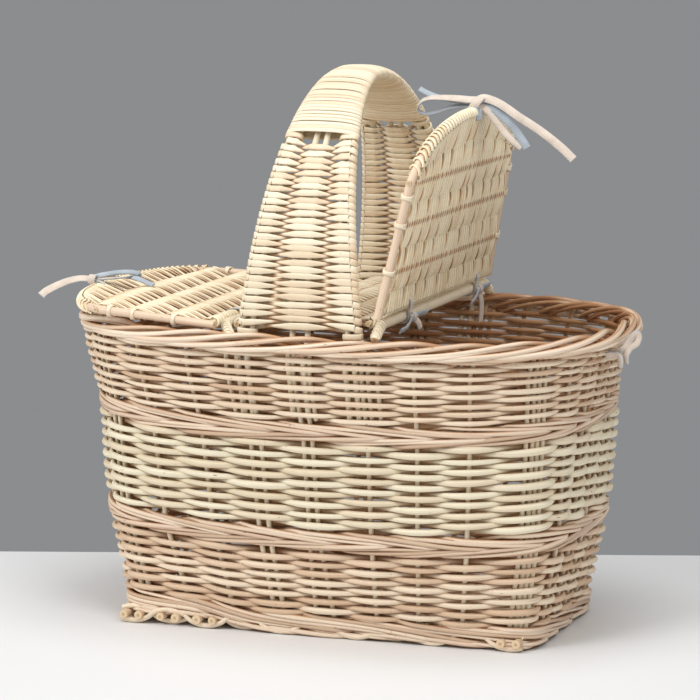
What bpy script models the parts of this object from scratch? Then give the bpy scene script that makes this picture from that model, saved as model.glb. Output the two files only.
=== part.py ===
"""Wicker picnic basket: tapered woven body, hoop handle, fixed bridge and two lids that hinge on crossbars.

Metres, +Z up. The origin is on the ground under the middle of the base. +X runs along the basket,
and -Y is the front. The left lid is closed, and the right lid stands open.
"""

import math

import bmesh
import bpy
import numpy as np
from mathutils import Vector

# ---- Body of the basket ----
# Each station of the wall: height, half length, half width, squareness (2 is an ellipse),
# and how much higher the weave runs at the two ends than at the middle of the long sides.
WALL_STATIONS = (
    (0.0000, 0.1670, 0.0790, 10.0, 0.000),
    (0.0830, 0.1935, 0.1080, 4.7, 0.008),
    (0.1730, 0.2050, 0.1260, 3.7, 0.008),
    (0.2515, 0.2265, 0.1455, 2.7, 0.000),
)
STAKE_COUNT = 28
STAKE_RADIUS = 0.0022
STAKE_TOP = 0.2425
GAP = 0.0004

WEAVE_THICKNESS = 0.0034
WALE_THICKNESS = 0.0050
WEAVE_BANDS = (("lower_weave", 0.0310, 0.0680), ("middle_weave", 0.0997, 0.1610), ("upper_weave", 0.1885, 0.2385))
WALE_BANDS = (("lower_wale", 0.0700, 0.0977), ("upper_wale", 0.1630, 0.1865))

FOOT_HEIGHT = 0.015
FOOT_THICKNESS = 0.0050
FOOT_OFFSET = 0.0075
RIM_RADIUS = 0.0078
RIM_HEIGHT = WALL_STATIONS[-1][0]

BASE_STICK_RADIUS = 0.0032
BASE_STICK_HEIGHT = 0.0062
BASE_STICK_HALF_LENGTH = 0.0815
BASE_STICK_STATIONS = 6
BASE_STICK_PITCH = 0.056
CROSS_LEAGUE_HEIGHT = 0.0154
LONG_LEAGUE_HEIGHT = 0.0202
LEAGUE_TURN = 0.009
BASE_WEAVE_HEIGHT = 0.0113
BASE_WEAVE_THICKNESS = 0.0028
BASE_WEAVE_INSET = 0.0010

# ---- Handle ----
HOOP_BASE_HEIGHT = 0.250
HOOP_RISE = 0.2015
HOOP_HALF_SPAN = 0.132
HOOP_TAPER = 0.75
RIB_RADIUS = 0.0025
RIB_FOOT_HEIGHT = 0.195
RIB_WALL_INSET = 0.0105
# Sideways place of each rib on one half: (at the rim, at the crown).
RIB_PLACES = ((0.0065, 0.0035), (0.0415, 0.0100), (0.0495, 0.0155))
HANDLE_HALF_WIDTH = (0.0535, 0.0200)
LEG_WEAVE_ANGLES = (4, 10, 20, 30, 40, 48)
LEG_WEAVE_THICKNESS = 0.0028
GRIP_ANGLES = (51, 60, 70, 80, 90, 100, 110, 120, 129)
GRIP_WALL = 0.0016

# ---- Bridge and lids ----
HINGE_OFFSET = 0.0665
HINGE_HEIGHT = 0.2655
CROSSBAR_RADIUS = 0.0040
CROSSBAR_HALF_LENGTH = 0.140
BRIDGE_HALF_LENGTH = 0.0590
BRIDGE_HALF_WIDTH = 0.123
BRIDGE_THICKNESS = 0.0040

RIGHT_LID_OPEN = math.radians(78)
BOW_RADIUS = 0.0040
BOW_START = 0.006
BOW_SHOULDER = 0.105
BOW_TIP = 0.166
BOW_HALF_WIDTHS = (0.134, 0.117)
BOW_SQUARENESS = 1.8
LID_ROD_PLACE = 0.011
LID_ROD_RADIUS = 0.0034
LID_RIB_PLACES = (0.048, 0.083, 0.116)
LID_RIB_RADIUS = 0.0025
LID_WEAVE_START = 0.0185
LID_WEAVE_END = 0.1485
LID_WEAVE_THICKNESS = 0.0028

# ---- Leather ----
TIE_PLACE = 0.080
TIE_WIDTH = 0.0055
TIE_THICKNESS = 0.0013
THONG_WIDTH = 0.0065
THONG_THICKNESS = 0.0016
LATCH_PLACE = -0.030

# The thongs and latch loops as paths: (along the lid, above the lid) and (outward, up) from the rim.
OPEN_LID_THONG = (
    (0.1390, -0.0480), (0.1466, -0.0250), (0.1495, -0.0100), (0.1505, 0.0), (0.1512, 0.0075), (0.1540, 0.0200),
    (0.1480, 0.0340), (0.1500, 0.0450), (0.1570, 0.0450), (0.1610, 0.0300), (0.1650, 0.0130), (0.1720, 0.0060),
    (0.1755, -0.0010), (0.1760, -0.0130), (0.1745, -0.0400), (0.1650, -0.0700), (0.1500, -0.0970),
)
CLOSED_LID_THONG = (
    (0.1505, -0.0045), (0.1507, 0.0), (0.1512, 0.0075), (0.1440, 0.0130), (0.1220, 0.0110), (0.1090, 0.0130),
    (0.1110, 0.0180), (0.1260, 0.0190), (0.1510, 0.0170), (0.1640, 0.0125), (0.1730, 0.0080), (0.1800, 0.0040),
)
LATCH_LOOP = (
    (-0.0105, 0.0), (-0.0085, 0.0065), (0.0, 0.0092), (0.0115, 0.0080), (0.0205, 0.0020),
    (0.0225, -0.0060), (0.0150, -0.0098), (0.0050, -0.0098), (-0.0070, -0.0085),
)

COLOURS = {
    "willow": ((0.74, 0.58, 0.38), 0.55),
    "willow_brown": ((0.58, 0.38, 0.22), 0.60),
    "willow_pale": ((0.80, 0.68, 0.48), 0.50),
    "leather": ((0.72, 0.62, 0.52), 0.80),
}


def clear_scene():
    for obj in list(bpy.data.objects):
        bpy.data.objects.remove(obj, do_unlink=True)


def make_collection(name):
    collection = bpy.data.collections.new(name)
    bpy.context.scene.collection.children.link(collection)
    return collection


def make_material(name):
    colour, roughness = COLOURS[name]
    material = bpy.data.materials.new(name)
    material.use_nodes = True
    shader = material.node_tree.nodes["Principled BSDF"]
    shader.inputs["Base Color"].default_value = (*colour, 1.0)
    shader.inputs["Roughness"].default_value = roughness
    shader.inputs["Metallic"].default_value = 0.0
    return material


clear_scene()
PARTS = make_collection("picnic_basket")
CUTTERS = make_collection("helpers")
MATERIALS = {name: make_material(name) for name in COLOURS}


def add_object(name, data, material, parent=None, collection=None):
    obj = bpy.data.objects.new(name, data)
    (collection or PARTS).objects.link(obj)
    data.materials.append(MATERIALS[material])
    obj.parent = parent
    return obj


def solidify(obj, thickness):
    modifier = obj.modifiers.new("thickness", "SOLIDIFY")
    modifier.thickness = thickness
    modifier.offset = 0.0
    modifier.use_even_offset = True


def tube(name, points, radius, material, parent=None, cyclic=False, bevel_resolution=1):
    """A round rod along a path of points, with flat ends."""
    curve = bpy.data.curves.new(name, "CURVE")
    curve.dimensions = "3D"
    curve.bevel_depth = radius
    curve.bevel_resolution = bevel_resolution
    curve.use_fill_caps = True
    spline = curve.splines.new("POLY")
    spline.points.add(len(points) - 1)
    for target, point in zip(spline.points, points):
        target.co = (*point, 1.0)
    spline.use_cyclic_u = cyclic
    return add_object(name, curve, material, parent)


def strap(name, path, width, thickness, material, parent=None, cyclic=False):
    """A flat strap that bends along a path in the XZ plane. Its width runs along Y."""
    curve = bpy.data.curves.new(name, "CURVE")
    curve.dimensions = "2D"
    curve.fill_mode = "NONE"
    curve.extrude = width / 2
    spline = curve.splines.new("POLY")
    spline.points.add(len(path) - 1)
    for target, (along, up) in zip(spline.points, path):
        target.co = (along, up, 0.0, 1.0)
    spline.use_cyclic_u = cyclic
    obj = add_object(name, curve, material, parent)
    obj.rotation_euler = (math.pi / 2, 0, 0)
    solidify(obj, thickness)
    return obj


def cylinder_mesh(name, radius, length, segments=10):
    """A cylinder along Y, centred on the origin."""
    mesh = bpy.data.meshes.new(name)
    shape = bmesh.new()
    bmesh.ops.create_cone(
        shape, cap_ends=True, segments=segments, radius1=radius, radius2=radius, depth=length
    )
    for vertex in shape.verts:
        vertex.co = Vector((vertex.co.x, vertex.co.z, -vertex.co.y))
    shape.to_mesh(mesh)
    shape.free()
    mesh.shade_smooth()
    mesh.set_sharp_from_angle(angle=math.radians(40))
    return mesh


def cross_rod(name, along, height, radius, half_length, material, parent=None):
    """A straight rod that runs from front to back."""
    rod = add_object(name, cylinder_mesh(name, radius, 2 * half_length), material, parent)
    rod.location = (along, 0, height)
    return rod


def lofted_sheet(name, rows, thickness, material, parent=None, closed=False):
    """A sheet through rows of points, thickened evenly to both sides. Closed rows make a ring."""
    mesh = bpy.data.meshes.new(name)
    shape = bmesh.new()
    grid = [[shape.verts.new(point) for point in row] for row in rows]
    columns = len(grid[0]) if closed else len(grid[0]) - 1
    for low, high in zip(grid, grid[1:]):
        for i in range(columns):
            j = (i + 1) % len(low)
            shape.faces.new((low[i], low[j], high[j], high[i]))
    bmesh.ops.recalc_face_normals(shape, faces=shape.faces)
    shape.to_mesh(mesh)
    shape.free()
    obj = add_object(name, mesh, material, parent)
    solidify(obj, thickness)
    return obj


# ---- The wall's shape ----
def station_loop(half_length, half_width, squareness, samples=512):
    """Points round a superellipse from +X towards +Y, and the share of the way round at each."""
    angles = np.linspace(0, 2 * math.pi, samples + 1)
    cosines, sines = np.cos(angles), np.sin(angles)
    points = np.stack(
        [
            half_length * np.sign(cosines) * np.abs(cosines) ** (2 / squareness),
            half_width * np.sign(sines) * np.abs(sines) ** (2 / squareness),
        ],
        axis=1,
    )
    lengths = np.linalg.norm(np.diff(points, axis=0), axis=1)
    shares = np.concatenate([[0], np.cumsum(lengths)]) / lengths.sum()
    return points, shares


STATION_LOOPS = [station_loop(*station[1:4]) for station in WALL_STATIONS]


def loop_point(loop, share):
    points, shares = loop
    return np.array([np.interp(share % 1.0, shares, points[:, axis]) for axis in (0, 1)])


def wall_point(share, height, offset=0.0):
    """A point on the wall: its share of the way round, its height, and how far outward it stands."""
    heights = [station[0] for station in WALL_STATIONS]
    upper = min(max(int(np.searchsorted(heights, height)), 1), len(heights) - 1)
    blend = (height - heights[upper - 1]) / (heights[upper] - heights[upper - 1])

    def at(place):
        low, high = (loop_point(STATION_LOOPS[i], place) for i in (upper - 1, upper))
        return low + (high - low) * blend

    step = 1e-3
    here = at(share)
    tangent = at(share + step) - at(share - step)
    outward = np.array([tangent[1], -tangent[0]]) / np.linalg.norm(tangent)
    ends = [WALL_STATIONS[i] for i in (upper - 1, upper)]
    half_length = ends[0][1] + (ends[1][1] - ends[0][1]) * blend
    lift = ends[0][4] + (ends[1][4] - ends[0][4]) * blend
    place = here + outward * offset
    return Vector((place[0], place[1], height + lift * (here[0] / half_length) ** 2))


def stake_share(index):
    return index / STAKE_COUNT


def woven_ring(name, low, high, thickness, first_side, clearance=0.0004):
    """A ring that passes outside one stake and inside the next, as a weaver does."""
    swing = STAKE_RADIUS + GAP + thickness / 2 + clearance
    bends = [station[0] for station in WALL_STATIONS if low < station[0] < high]
    rows = []
    for height in (low, *bends, high):
        row = []
        for index in range(STAKE_COUNT):
            side = first_side if index % 2 == 0 else -first_side
            row.append(wall_point(stake_share(index), height, side * swing))
            row.append(wall_point(stake_share(index + 0.5), height))
        rows.append(row)
    lofted_sheet(name, rows, thickness, "willow", closed=True)


def build_wall():
    for name, low, high in WEAVE_BANDS:
        woven_ring(name, low, high, WEAVE_THICKNESS, first_side=1)
    for name, low, high in WALE_BANDS:
        woven_ring(name, low, high, WALE_THICKNESS, first_side=-1, clearance=0.0012)
    shares = [index / (2 * STAKE_COUNT) for index in range(2 * STAKE_COUNT)]
    rim = [wall_point(share, RIM_HEIGHT) for share in shares]
    tube("rim_border", rim, RIM_RADIUS, "willow", cyclic=True)


def build_foot():
    shares = [stake_share(index / 2) for index in range(2 * STAKE_COUNT)]
    outline = [wall_point(share, FOOT_HEIGHT / 2, FOOT_OFFSET) for share in shares]
    rows = [[Vector((point.x, point.y, height)) for point in outline] for height in (0.0, FOOT_HEIGHT)]
    lofted_sheet("foot_wale", rows, FOOT_THICKNESS, "willow_brown", closed=True)


def build_base_weave():
    curve = bpy.data.curves.new("base_weave", "CURVE")
    curve.dimensions = "2D"
    curve.fill_mode = "BOTH"
    curve.extrude = BASE_WEAVE_THICKNESS / 2
    spline = curve.splines.new("POLY")
    spline.points.add(2 * STAKE_COUNT - 1)
    for index, target in enumerate(spline.points):
        point = wall_point(index / (2 * STAKE_COUNT), BASE_WEAVE_HEIGHT, -BASE_WEAVE_INSET)
        target.co = (point.x, point.y, 0.0, 1.0)
    spline.use_cyclic_u = True
    slab = add_object("base_weave", curve, "willow")
    slab.location.z = BASE_WEAVE_HEIGHT


def build_base_sticks():
    """Pairs of thick sticks under the base. The two sticks of a pair lie against each other."""
    length = 2 * BASE_STICK_HALF_LENGTH
    spacing = BASE_STICK_RADIUS * 0.95
    for index in range(BASE_STICK_STATIONS):
        place = (index - (BASE_STICK_STATIONS - 1) / 2) * BASE_STICK_PITCH
        name = f"base_stick_pair_{index + 1}"
        pair = add_object(name, cylinder_mesh(name, BASE_STICK_RADIUS, length), "willow_brown")
        pair.location = (place - spacing, 0, BASE_STICK_HEIGHT)
        second = add_object(
            name + "_second", cylinder_mesh(name + "_second", BASE_STICK_RADIUS, length), "willow_brown",
            collection=CUTTERS,
        )
        second.location = (place + spacing, 0, BASE_STICK_HEIGHT)
        second.hide_render = True
        second.display_type = "WIRE"
        join = pair.modifiers.new("second_stick", "BOOLEAN")
        join.operation = "UNION"
        join.object = second


def league_path(share_up, share_down, floor_height, inward):
    """Down one wall, under the base and up the other wall, as one rod."""
    turn_height = floor_height + 0.0035
    wall_heights = [STAKE_TOP, WALL_STATIONS[2][0], WALL_STATIONS[1][0], floor_height + 0.0095]
    down = [wall_point(share_up, height) for height in wall_heights]
    up = [wall_point(share_down, height) for height in reversed(wall_heights)]
    turns = []
    for share, side in ((share_up, 1), (share_down, -1)):
        foot = wall_point(share, turn_height)
        step = inward * side
        turns.append(
            [
                Vector((foot.x, foot.y, turn_height)) + step * LEAGUE_TURN / 3,
                Vector((foot.x, foot.y, floor_height)) + step * LEAGUE_TURN,
            ]
        )
    return down + turns[0] + turns[1][::-1] + up


def build_leagues():
    """Rods that are a stake on one wall, a stick of the base, and a stake on the wall opposite."""
    half = STAKE_COUNT // 2
    end_stakes = 2
    across = range(end_stakes + 1, half - end_stakes)
    for number, index in enumerate(reversed(across), start=1):
        opposite = STAKE_COUNT - index
        path = league_path(
            stake_share(opposite), stake_share(index), CROSS_LEAGUE_HEIGHT, Vector((0, 1, 0))
        )
        tube(f"cross_league_{number}", path, STAKE_RADIUS, "willow_brown")
    for number, index in enumerate(range(-end_stakes, end_stakes + 1), start=1):
        opposite = half - index
        path = league_path(
            stake_share(opposite), stake_share(index), LONG_LEAGUE_HEIGHT, Vector((1, 0, 0))
        )
        tube(f"long_league_{number}", path, STAKE_RADIUS, "willow_brown")


# ---- Handle ----
def hoop_taper(angle):
    """1 at the rim and 0 at the crown of the handle."""
    return (1 - math.sin(angle)) ** HOOP_TAPER


def hoop_point(angle, across, outward=0.0):
    """A point on the handle's arch, from the front rim at angle 0 to the back rim at pi."""
    height = HOOP_BASE_HEIGHT + HOOP_RISE * math.sin(angle)
    place = Vector((across, -HOOP_HALF_SPAN * math.cos(angle), height))
    normal = Vector((0, -HOOP_RISE * math.cos(angle), HOOP_HALF_SPAN * math.sin(angle))).normalized()
    return place + normal * outward


def tapered(ends, angle):
    return ends[1] + (ends[0] - ends[1]) * hoop_taper(angle)


def build_handle_ribs():
    angles = [math.radians(degrees) for degrees in (0, *LEG_WEAVE_ANGLES[:-1], *GRIP_ANGLES)]
    angles += [math.pi - angle for angle in angles[::-1] if angle < math.radians(49)]
    wall = wall_point(0.75, RIB_FOOT_HEIGHT)
    foot_depth = abs(wall.y) - RIB_WALL_INSET
    numbers = {1: (4, 5, 6), -1: (3, 2, 1)}
    for side in (1, -1):
        for number, ends in zip(numbers[side], RIB_PLACES):
            path = [hoop_point(angle, side * tapered(ends, angle)) for angle in angles]
            feet = [Vector((side * ends[0], end * foot_depth, RIB_FOOT_HEIGHT)) for end in (-1, 1)]
            tube(f"handle_rib_{number}", [feet[0], *path, feet[1]], RIB_RADIUS, "willow")


def build_leg_weaves():
    """The woven leg panels: inside the outer rib pairs and outside the middle pair."""
    swing = RIB_RADIUS + GAP + LEG_WEAVE_THICKNESS / 2 + 0.0003
    half = ((HANDLE_HALF_WIDTH, -1), ((0.0370, 0.0068), -1), ((0.0145, 0.0062), 1))
    columns = [(-1, *column) for column in half] + [(1, *column) for column in half[::-1]]
    for name, mirrored in (("front_leg_weave", False), ("back_leg_weave", True)):
        rows = []
        for degrees in LEG_WEAVE_ANGLES:
            angle = math.radians(degrees)
            at = math.pi - angle if mirrored else angle
            row = []
            for side, ends, level in columns:
                row.append(hoop_point(at, side * tapered(ends, angle), level * swing))
            rows.append(row)
        lofted_sheet(name, rows, LEG_WEAVE_THICKNESS, "willow_pale")


def build_grip():
    """The bound grip: a flat tube round all the ribs."""
    half_depth = RIB_RADIUS + GAP + GRIP_WALL / 2 + 0.0003
    rows = []
    for degrees in GRIP_ANGLES:
        angle = math.radians(degrees)
        half_width = tapered(HANDLE_HALF_WIDTH, angle)
        shoulder = half_width - 0.003
        outline = (
            (half_width, 0.4), (shoulder, 1), (0, 1.15), (-shoulder, 1), (-half_width, 0.4),
            (-half_width, -0.4), (-shoulder, -1), (0, -1.15), (shoulder, -1), (half_width, -0.4),
        )
        rows.append([hoop_point(angle, across, depth * half_depth) for across, depth in outline])
    lofted_sheet("grip_binding", rows, GRIP_WALL, "willow_pale", closed=True)


# ---- Bridge and lids ----
def build_bridge():
    for name, side in (("left_crossbar", -1), ("right_crossbar", 1)):
        cross_rod(name, side * HINGE_OFFSET, HINGE_HEIGHT, CROSSBAR_RADIUS, CROSSBAR_HALF_LENGTH, "willow")
    mesh = bpy.data.meshes.new("bridge_weave")
    shape = bmesh.new()
    bmesh.ops.create_cube(shape, size=1.0)
    size = Vector((2 * BRIDGE_HALF_LENGTH, 2 * BRIDGE_HALF_WIDTH, BRIDGE_THICKNESS))
    bmesh.ops.scale(shape, vec=size, verts=shape.verts)
    shape.to_mesh(mesh)
    shape.free()
    slab = add_object("bridge_weave", mesh, "willow_pale")
    slab.location.z = HINGE_HEIGHT
    bevel = slab.modifiers.new("rounded", "BEVEL")
    bevel.width = 0.0012
    bevel.segments = 1


def bow_half_width(place):
    """Half the lid's width, to the middle of the bow, at a place between the hinge and the tip."""
    if place <= BOW_SHOULDER:
        share = (place - BOW_START) / (BOW_SHOULDER - BOW_START)
        return BOW_HALF_WIDTHS[0] + (BOW_HALF_WIDTHS[1] - BOW_HALF_WIDTHS[0]) * share
    share = (place - BOW_SHOULDER) / (BOW_TIP - BOW_SHOULDER)
    return BOW_HALF_WIDTHS[1] * (1 - share**BOW_SQUARENESS) ** (1 / BOW_SQUARENESS)


def inner_half_width(place, inset):
    """Half the width of the opening inside the bow, held back from the middle of the bow by the inset."""
    if place <= BOW_SHOULDER:
        return bow_half_width(place) - inset
    share = (place - BOW_SHOULDER) / (BOW_TIP - BOW_SHOULDER - inset)
    return (BOW_HALF_WIDTHS[1] - inset) * (1 - share**BOW_SQUARENESS) ** (1 / BOW_SQUARENESS)


def bow_path():
    arc = [math.radians(degrees) for degrees in range(0, 91, 10)]
    reach = BOW_TIP - BOW_SHOULDER
    half = [(BOW_START, BOW_HALF_WIDTHS[0])]
    half += [
        (
            BOW_SHOULDER + reach * math.sin(angle) ** (2 / BOW_SQUARENESS),
            BOW_HALF_WIDTHS[1] * math.cos(angle) ** (2 / BOW_SQUARENESS) if angle < math.pi / 2 - 1e-6 else 0.0,
        )
        for angle in arc
    ]
    near = [Vector((place, -width, 0)) for place, width in half]
    far = [Vector((place, width, 0)) for place, width in half[-2::-1]]
    return near + far


def stadium(inner_radius, length, arc_points=6):
    """A loop round two rods: one at the origin, and one that lies length along X from it."""
    points = []
    for centre, start in ((length, -90), (0.0, 90)):
        for step in range(arc_points):
            angle = math.radians(start + 180 * step / (arc_points - 1))
            points.append((centre + inner_radius * math.cos(angle), inner_radius * math.sin(angle)))
    return points


def build_lid(side, open_angle, thong_path):
    """One lid in its own frame: +X from the hinge axis to the tip, +Z out of its top face."""
    word = "right" if side > 0 else "left"
    hinge = bpy.data.objects.new(word + "_hinge_axis", None)
    PARTS.objects.link(hinge)
    hinge.location = (side * HINGE_OFFSET, 0, HINGE_HEIGHT)
    hinge.rotation_euler = (0, -open_angle, 0 if side > 0 else math.pi)

    tube(word + "_lid_bow", bow_path(), BOW_RADIUS, "willow_brown", hinge, bevel_resolution=2)
    inset = BOW_RADIUS + 3 * GAP
    rod_half_length = inner_half_width(LID_ROD_PLACE + LID_ROD_RADIUS, inset)
    cross_rod(word + "_lid_hinge_rod", LID_ROD_PLACE, 0, LID_ROD_RADIUS, rod_half_length, "willow", hinge)
    for number, place in enumerate(LID_RIB_PLACES, start=1):
        half_length = inner_half_width(place + LID_RIB_RADIUS, inset)
        cross_rod(f"{word}_lid_rib_{number}", place, 0, LID_RIB_RADIUS, half_length, "willow", hinge)

    swing = LID_RIB_RADIUS + GAP + LID_WEAVE_THICKNESS / 2 + 0.0006
    first, second, third = LID_RIB_PLACES
    stations = (
        (LID_WEAVE_START, 0.4), (first, 1), ((first + second) / 2, 0), (second, -1),
        ((second + third) / 2, 0), (third, 1), (0.127, 0.5), (0.136, 0), (0.143, 0), (LID_WEAVE_END, 0),
    )
    rows = []
    for place, level in stations:
        half_width = inner_half_width(place, inset + LID_WEAVE_THICKNESS / 2)
        rows.append([Vector((place, share * half_width, level * swing)) for share in (-1, -0.5, 0, 0.5, 1)])
    lofted_sheet(word + "_lid_weave", rows, LID_WEAVE_THICKNESS, "willow_pale", hinge)

    radius = CROSSBAR_RADIUS + GAP + TIE_THICKNESS / 2
    for place in (-TIE_PLACE, TIE_PLACE):
        end = "front" if place * side < 0 else "back"
        loop = stadium(radius, LID_ROD_PLACE)
        tie = strap(f"{word}_hinge_tie_{end}", loop, TIE_WIDTH, TIE_THICKNESS, "leather", hinge, cyclic=True)
        tie.location.y = place
    strap(word + "_closing_thong", thong_path, THONG_WIDTH, THONG_THICKNESS, "leather", hinge)


def build_latch_loops():
    """A leather loop round the rim at each end, for the lid's thong."""
    _, half_length, half_width, squareness, _ = WALL_STATIONS[-1]
    rim_reach = half_length * (1 - abs(LATCH_PLACE / half_width) ** squareness) ** (1 / squareness)
    for word, side in (("left", -1), ("right", 1)):
        path = [(side * (rim_reach + outward), RIM_HEIGHT + up) for outward, up in LATCH_LOOP]
        loop = strap(f"{word}_latch_loop", path, TIE_WIDTH, TIE_THICKNESS, "leather", cyclic=True)
        loop.location.y = LATCH_PLACE


build_foot()
build_base_sticks()
build_base_weave()
build_leagues()
build_wall()
build_handle_ribs()
build_leg_weaves()
build_grip()
build_bridge()
build_lid(-1, 0.0, CLOSED_LID_THONG)
build_lid(1, RIGHT_LID_OPEN, OPEN_LID_THONG)
build_latch_loops()
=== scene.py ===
import math

import bpy
import numpy as np
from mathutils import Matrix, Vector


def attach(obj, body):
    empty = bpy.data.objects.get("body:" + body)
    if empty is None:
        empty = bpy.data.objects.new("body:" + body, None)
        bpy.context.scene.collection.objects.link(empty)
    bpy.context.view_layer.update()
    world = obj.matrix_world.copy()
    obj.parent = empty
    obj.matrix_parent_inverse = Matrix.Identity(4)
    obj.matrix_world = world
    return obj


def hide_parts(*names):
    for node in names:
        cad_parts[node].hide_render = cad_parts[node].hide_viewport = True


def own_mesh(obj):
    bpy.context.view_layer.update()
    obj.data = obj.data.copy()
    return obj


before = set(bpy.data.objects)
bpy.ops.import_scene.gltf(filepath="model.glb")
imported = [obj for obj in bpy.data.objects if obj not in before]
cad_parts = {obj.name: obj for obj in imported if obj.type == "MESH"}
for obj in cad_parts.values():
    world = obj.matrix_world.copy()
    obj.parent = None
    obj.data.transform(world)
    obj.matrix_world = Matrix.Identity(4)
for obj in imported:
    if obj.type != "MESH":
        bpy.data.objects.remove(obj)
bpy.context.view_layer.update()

rng = np.random.default_rng(11)

# ---- Sizes shared with the CAD, in metres ----
# Height, half length, half width, squareness and end lift of each station of the wall.
WALL = np.array([
    (0.0000, 0.1700, 0.0800, 14.0, 0.000),
    (0.0830, 0.1962, 0.1090, 4.7, 0.008),
    (0.1730, 0.2038, 0.1260, 3.7, 0.008),
    (0.2250, 0.2150, 0.1385, 3.1, 0.003),
    (0.2515, 0.2265, 0.1455, 2.7, 0.000),
])
# The real wall isn't quite true: how far each station leans along X and along Y.
LEAN_X = (0.004, 0.0, 0.0, -0.004, 0.0)
LEAN_Y = (-0.009, -0.001, 0.0, 0.0, 0.0)
# The foot turns by this slope, and its front left corner is this far up.
FOOT_SKEW = 0.055
FOOT_LIFT = 0.0085
STAKES = 28
# The distance between stakes at the rim, and the shares of the way round where the middles of the sides are.
PITCH = 0.0425
FRONT, BACK = 0.75, 0.25
RIM_HEIGHT = 0.2514
# The hinge lines, the open lid's angle and the handle's arch.
HINGE_X = 0.0665
HINGE_Z = 0.2655
LID_OPEN = math.radians(78)
HOOP_Z = 0.250
HOOP_RISE = 0.2015
HOOP_SPAN = 0.132

# A strap's cross section: across its width and through its thickness, each as a share of the half size.
STRAP_PROFILE = np.array([
    (-1.0, 0.45), (-0.9, 1.0), (0.0, 1.06), (0.9, 1.0), (1.0, 0.45),
    (1.0, -0.45), (0.9, -1.0), (0.0, -0.96), (-0.9, -1.0), (-1.0, -0.45),
])
# Painted shade: from this far outside the stakes to this far inside them, the willow is painted from pale to
# brown.
SHADE_DEPTH = 0.0085
# What the materials read at each point: its place in the grain, colour, cut end, painted shade and strap face.
ATTRIBUTES = ("grain", "tint", "cut", "shade", "side")


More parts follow.
